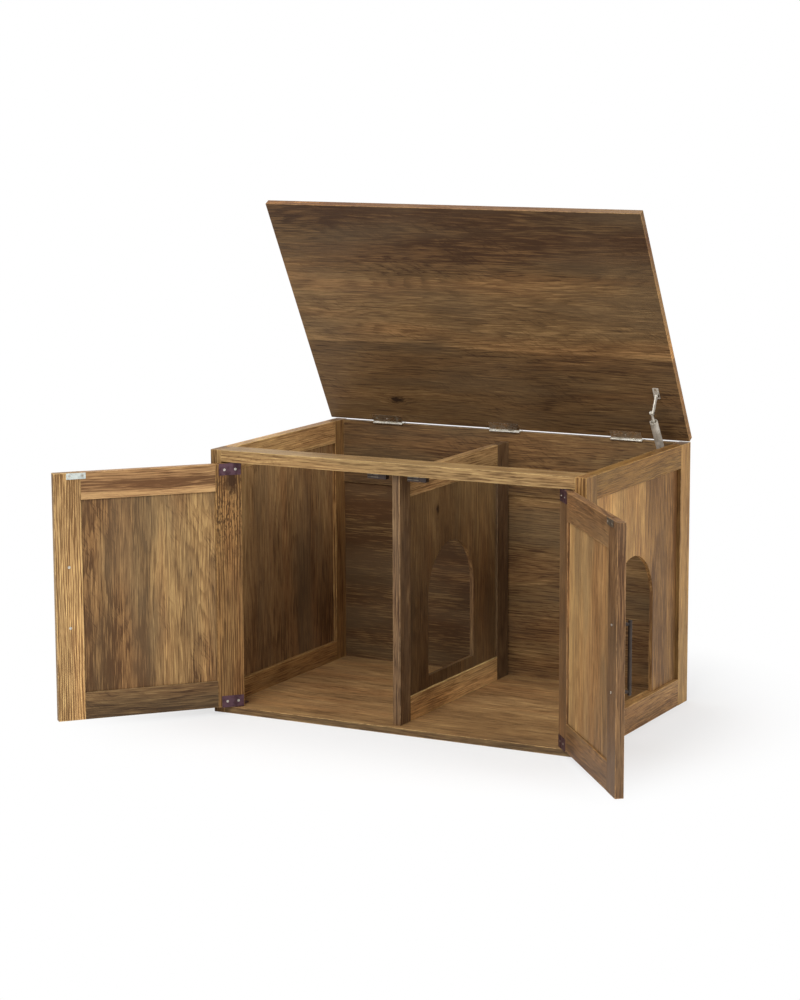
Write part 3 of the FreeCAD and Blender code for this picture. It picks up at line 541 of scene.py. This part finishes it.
def dress_doors():
    # Each board's tint and tone courses were set to match its look in the rest pose, so beside its
    # own tone they hold painted light and painted shade.
    bands = ((0, 0.5), (0.3, 0.6), (0.6, 0.76), (0.75, 0.55), (1, 0.34))
    dress_board(
        "left_door_free_stile", GOLDEN, True, 20, (1.1, 1.14, 1.1), along=bands,
        Contrast=1.7, Lines=1.2,
    )
    flecks = ((0, 0.0), (0.45, 0.0), (0.6, 0.35), (0.75, 0.85), (0.93, 0.7), (1, 0.2))
    bands = ((0, 0.44), (0.4, 0.46), (0.7, 0.6), (0.9, 0.6), (1, 0.5))
    dress_board(
        "left_door_hinge_stile", GOLDEN, True, 21, (0.66, 0.61, 0.5), along=bands, flecks=flecks,
        knot=(0.232, 0.008, 0.021), Lines=1.1,
    )
    bands = ((0, 0.95), (0.2, 0.9), (0.3, 0.2), (0.5, 0.0), (0.62, 0.3), (0.75, 0.5), (1, 0.55))
    tint = (0.8, 0.76, 0.76)
    dress_board("left_door_top_rail", GOLDEN, False, 22, tint, across=bands, Figure=0.7, Lines=0.3)
    bands = ((0, 0.3), (0.3, 0.38), (0.6, 0.48), (1, 0.6))
    tint = (0.56, 0.6, 0.65)
    dress_board("left_door_bottom_rail", BROWN, False, 23, tint, across=bands, Figure=0.9)
    bands = (
        (0, 0.28), (0.12, 0.36), (0.2, 0.26), (0.3, 0.4), (0.36, 0.5), (0.5, 0.46), (0.52, 0.76),
        (0.64, 0.7), (0.7, 0.56), (0.78, 0.62), (0.88, 0.76), (1, 0.6),
    )
    up = ((0, 0.32), (0.25, 0.38), (0.5, 0.52), (0.8, 0.6), (1, 0.48))
    dress_board(
        "left_door_panel", BROWN, True, 34, (1.0, 1.03, 1.02), across=bands, along=up,
        Contrast=1.7, Figure=1.2,
    )
    dress_board("right_door_free_stile", BROWN, True, 25, (0.8, 0.76, 0.8), Lines=0.5)
    dress_board("right_door_hinge_stile", BROWN, True, 26, (0.95, 0.89, 0.9), Lines=0.7)
    dress_board("right_door_top_rail", BROWN, False, 27, (0.91, 0.86, 0.87), Figure=0.9)
    dress_board("right_door_bottom_rail", BROWN, False, 28, (0.85, 0.83, 0.8), Figure=0.9)
    bands = ((0, 0.3), (0.3, 0.44), (0.5, 0.54), (0.54, 0.68), (0.8, 0.74), (1, 0.84))
    dress_board("right_door_panel", BROWN, True, 29, (1.27, 1.28, 1.28), across=bands, Figure=0.4)


def dress_lid():
    """The lid has the look of three planks: brown by the hinges, lighter in the middle and dark by
    the free edge."""
    # The lid's tint and tone courses were set to match its look in the rest pose, so beside its own
    # tone they hold painted light and painted shade.
    bands = (
        (0, 0.52), (0.12, 0.5), (0.2, 0.5), (0.37, 0.44), (0.38, 0.86), (0.4, 0.72), (0.5, 0.68),
        (0.67, 0.76), (0.7, 0.46), (0.8, 0.4), (0.88, 0.14), (1, 0.05),
    )
    dress_board(
        "lid_board", DEEP, False, 30, (1.14, 1.1, 1.0), across=bands,
        along=((0, 0.64), (0.3, 0.52), (1, 0.46)), knot=(-0.26, -0.235, 0.012),
        narrow_tint=(2.3, 2.1, 1.7), Contrast=1.15,
    )


def dress_dowels():
    """Pale beech pegs, each with its grain along the world's X, as most of them lie."""
    material, nodes = new_material("beech_dowel")
    place = nodes.add("ShaderNodeTexCoord").outputs["Object"]
    grain = nodes.add("ShaderNodeGroup", node_tree=GRAIN)
    nodes.feed(grain.inputs["Board"], place)
    beech = {"Lines": 0.2, "Light": paint(226, 190, 146), "Middle": paint(206, 168, 124)}
    for name, value in {**GOLDEN, **beech}.items():
        nodes.feed(grain.inputs[name], value)
    close(nodes, *grain.outputs, dowel_relief, {"Specular IOR Level": 0.3})
    wear("carcass_dowels", material)


# ---- metal and plastic ----

def metal(name, tone, tarnish, clean, metallic=1.0, relief=0.00002):
    """A metal, or with nothing metallic a plastic. Clean is its roughness without tarnish."""
    material, nodes = new_material(name)
    place = nodes.add("ShaderNodeTexCoord").outputs["Object"]
    skin = nodes.add("ShaderNodeGroup", node_tree=SKIN)
    for socket, value in (("Place", place), ("Tone", tone), ("Tarnish", tarnish), ("Clean", clean)):
        nodes.feed(skin.inputs[socket], value)
    close(nodes, *skin.outputs, relief, {"Metallic": metallic})
    return material


BRONZE = metal("bronzed_plate", paint(92, 66, 76), paint(66, 44, 50), 0.36, metallic=0.7)
NICKEL = metal("bright_nickel", paint(214, 210, 200), paint(170, 164, 152), 0.2)
ZINC = metal("pale_zinc", paint(206, 212, 206), paint(176, 182, 178), 0.32)
# A darker copy of the pale zinc: painted shade, for plates whose reflections of the white studio
# come out too bright.
SHADED_ZINC = metal("shaded_zinc", paint(132, 122, 108), paint(100, 90, 78), 0.36)
STEEL = metal("grey_steel", paint(212, 206, 194), paint(174, 166, 152), 0.4, metallic=0.45)
BLACK = metal("black_lacquer", paint(50, 37, 28), paint(38, 28, 22), 0.6, metallic=0.0)
HOUSING = metal(
    "brown_plastic", paint(58, 40, 32), paint(44, 30, 25), 0.38, metallic=0.0, relief=0.00005
)


def dress_hardware():
    for node in ("carcass_pivot_leaves", "left_door_pivot_leaves", "right_door_pivot_leaves"):
        wear(node, BRONZE)
    for node in ("lid_hinge_fixed_leaves", "lid_hinge_lid_leaves", "lid_hinge_pins"):
        wear(node, NICKEL)
    wear("left_door_strike_plate", ZINC)
    # These plates wear the darker zinc copy, painted shade.
    for node in ("right_door_strike_plate", "catch_pole_plates"):
        wear(node, SHADED_ZINC)
    for node in ("stay_side_bracket", "stay_lid_bracket", "stay_tube", "stay_rod", "stay_link"):
        wear(node, STEEL)
    for node in ("stay_elbow_rivet", "stay_lid_rivet"):
        wear(node, NICKEL)
    for side in ("left", "right"):
        wear(side + "_door_handle_bar", BLACK)
        wear(side + "_door_handle_posts", BLACK)
    wear("catch_housings", HOUSING)


# ---- screws with a cross recess ----

def islands(node):
    """The separate solids of a node, each as an array of its points."""
    points, triangles = mesh_arrays(node)
    merged = np.unique(np.round(points / weld_distance), axis=0, return_inverse=True)[1].ravel()
    corners = merged[triangles]
    labels = np.arange(merged.max() + 1)
    while True:
        spread = labels.copy()
        np.minimum.at(spread, corners.ravel(), np.repeat(labels[corners].min(axis=1), 3))
        if (spread == labels).all():
            return [points[labels[merged] == label] for label in np.unique(labels)]
        labels = spread


def screw_surface(points):
    """One screw on a grid of (profile point, angle). It is turned about its own axis, which is its
    longest way: across the head, down its side to the shank and along that to the tip. On the head
    the height is lowered where the smaller of |x| and |y| is within the slot's half width and the
    larger within its reach."""
    centre = points.mean(axis=0)
    axis = np.linalg.svd(points - centre)[2][0]
    height = (points - centre) @ axis
    radius = np.linalg.norm(points - centre - np.outer(height, axis), axis=1)
    if height[radius.argmax()] < 0:
        axis, height = -axis, -height
    levels = np.unique(np.round(height / weld_distance)) * weld_distance
    top, under, tip = levels[-1], levels[-2], levels[0]

    def reach(level):
        return radius[np.abs(height - level) < 2 * weld_distance].max()

    head = reach(top)
    profile = [(step * head, top) for step in head_steps]
    profile += [(reach(under), under), (reach(tip), under), (reach(tip), tip), (0.0, tip)]
    around = np.linspace(0, 2 * math.pi, screw_sides, endpoint=False)
    distance, level = np.array(profile).T[:, :, None]
    x, y = np.abs(distance * np.cos(around)) / head, np.abs(distance * np.sin(around)) / head
    slot = (np.minimum(x, y) < recess_half_width) & (np.maximum(x, y) < recess_reach)
    on_head = np.arange(len(profile))[:, None] < len(head_steps)
    level = level - recess_depth * head / recess_head_radius * (slot & on_head)
    side = np.cross(axis, [0.0, 0.0, 1.0] if abs(axis[2]) < 0.9 else [1.0, 0.0, 0.0])
    side = side / np.linalg.norm(side)
    other = np.cross(axis, side)
    outward = np.cos(around)[:, None] * side + np.sin(around)[:, None] * other
    return centre + level[..., None] * axis + distance[..., None] * outward


def grid_faces(rows, columns):
    """Quads of a grid that is closed around its columns, facing outwards where the profile runs
    away from the head."""
    row, column = np.meshgrid(np.arange(rows - 1), np.arange(columns), indexing="ij")
    here, beside = row * columns + column, row * columns + (column + 1) % columns
    return np.stack([here, here + columns, beside + columns, beside], axis=-1).reshape(-1, 4)


def add_recessed_screws(node, body, material):
    """Detailed screws in the places of a node's plain ones."""
    grids = [screw_surface(points) for points in islands(node)]
    rows, columns = grids[0].shape[:2]
    faces = grid_faces(rows, columns)
    points = np.concatenate([grid.reshape(-1, 3) for grid in grids])
    quads = np.concatenate([faces + number * rows * columns for number in range(len(grids))])
    mesh = bpy.data.meshes.new(node + "_recessed")
    mesh.from_pydata(points.tolist(), [], quads.tolist())
    mesh.materials.append(material)
    piece = bpy.data.objects.new(node + "_recessed", mesh)
    bpy.context.scene.collection.objects.link(piece)
    weld(mesh)
    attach(piece, body)
    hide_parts(node)


def weld(mesh):
    """Close the poles: merge the points that lie together."""
    work = bmesh.new()
    work.from_mesh(mesh)
    bmesh.ops.remove_doubles(work, verts=work.verts, dist=weld_distance)
    bmesh.ops.recalc_face_normals(work, faces=work.faces)
    work.to_mesh(mesh)
    work.free()


def add_screws():
    add_recessed_screws("carcass_screws", "carcass", NICKEL)
    add_recessed_screws("lid_screws", "lid", NICKEL)
    for side in ("left", "right"):
        door = side + "_door"
        add_recessed_screws(door + "_leaf_screws", door, NICKEL)
        add_recessed_screws(door + "_handle_screws", door, NICKEL)


# ---- floor, lamps and camera ----

def add_floor():
    """A flat square just under the cabinet's foot, whiter to the camera, that keeps the shadows."""
    steps = np.linspace(-floor_reach, floor_reach, floor_lines)
    x, y = np.meshgrid(steps, steps, indexing="ij")
    points = np.stack([x, y, np.full_like(x, -floor_drop)], axis=-1).reshape(-1, 3)
    row, column = np.meshgrid(np.arange(floor_lines - 1), np.arange(floor_lines - 1), indexing="ij")
    here, beyond = row * floor_lines + column, (row + 1) * floor_lines + column
    faces = np.stack([here, beyond, beyond + 1, here + 1], axis=-1).reshape(-1, 4)
    mesh = bpy.data.meshes.new("studio_floor")
    mesh.from_pydata(points.tolist(), [], faces.tolist())
    floor = bpy.data.objects.new("studio_floor", mesh)
    bpy.context.scene.collection.objects.link(floor)
    material, nodes = new_material("studio_floor")
    seen = nodes.add("ShaderNodeLightPath").outputs["Is Camera Ray"]
    distance = nodes.vector("LENGTH", nodes.add("ShaderNodeTexCoord").outputs["Object"])
    whiteness = nodes.ramp(distance, floor_white_from, floor_white_beyond, floor_whiteness, 1.0)
    paper = nodes.add("ShaderNodeBsdfDiffuse", {"Color": floor_paper}).outputs[0]
    white = nodes.add("ShaderNodeEmission", {"Color": pure_white, "Strength": 1.0}).outputs[0]
    share = nodes.math("MULTIPLY", seen, whiteness)
    both = nodes.add("ShaderNodeMixShader", {0: share, 1: paper, 2: white}).outputs[0]
    nodes.add("ShaderNodeOutputMaterial", {"Surface": both})
    mesh.materials.append(material)


def add_world():
    """Even ambient light, and plain white for the camera and for what shines."""
    world = bpy.data.worlds.new("studio")
    world.use_nodes = True
    bpy.context.scene.world = world
    nodes = Nodes(world.node_tree)
    path = nodes.add("ShaderNodeLightPath").outputs
    shown = nodes.math("MAXIMUM", path["Is Camera Ray"], path["Is Glossy Ray"])
    shown = nodes.math("MAXIMUM", shown, path["Is Transmission Ray"])
    feeds = {"Color": pure_white, "Strength": ambient_strength}
    ambient = nodes.add("ShaderNodeBackground", feeds).outputs[0]
    white = nodes.add("ShaderNodeBackground", {"Color": pure_white, "Strength": 1.0}).outputs[0]
    both = nodes.add("ShaderNodeMixShader", {0: shown, 1: ambient, 2: white}).outputs[0]
    nodes.add("ShaderNodeOutputWorld", {"Surface": both})


def add_lamp(name, place, target, size, power):
    """A square soft lamp that points at a target."""
    data = bpy.data.lights.new(name, "AREA")
    data.shape = "SQUARE"
    data.size = size
    data.energy = power
    lamp = bpy.data.objects.new(name, data)
    lamp.location = place
    lamp.rotation_euler = (Vector(target) - Vector(place)).to_track_quat("-Z", "Y").to_euler()
    bpy.context.scene.collection.objects.link(lamp)


def add_lamps():
    middle = (0.0, 0.0, 0.4)
    add_lamp("front_lamp", (0.3, -4.2, 3.6), middle, 2.6, 165.0)
    add_lamp("right_lamp", (4.2, -1.2, 2.4), middle, 2.4, 80.0)
    add_lamp("top_lamp", (-0.6, 0.3, 4.2), middle, 2.4, 62.0)


def add_camera():
    yaw, pitch, roll = (math.radians(angle) for angle in (camera_yaw, camera_pitch, camera_roll))
    level = math.cos(pitch)
    ahead = Vector((-math.sin(yaw) * level, math.cos(yaw) * level, -math.sin(pitch)))
    right = ahead.cross(Vector((0, 0, 1))).normalized()
    up = right.cross(ahead)
    turned_up = up * math.cos(roll) + right * math.sin(roll)
    turned_right = ahead.cross(turned_up)
    data = bpy.data.cameras.new("camera")
    data.lens = camera_lens
    data.clip_end = 100.0
    camera = bpy.data.objects.new("camera", data)
    axes = Matrix((turned_right, turned_up, -ahead)).transposed()
    camera.matrix_world = Matrix.Translation(camera_place) @ axes.to_4x4()
    bpy.context.scene.collection.objects.link(camera)
    bpy.context.scene.camera = camera


add_camera()
add_world()
add_lamps()
add_floor()
dress_carcass()
dress_doors()
dress_lid()
dress_dowels()
dress_hardware()
add_screws()
bpy.context.scene.view_settings.view_transform = "Standard"
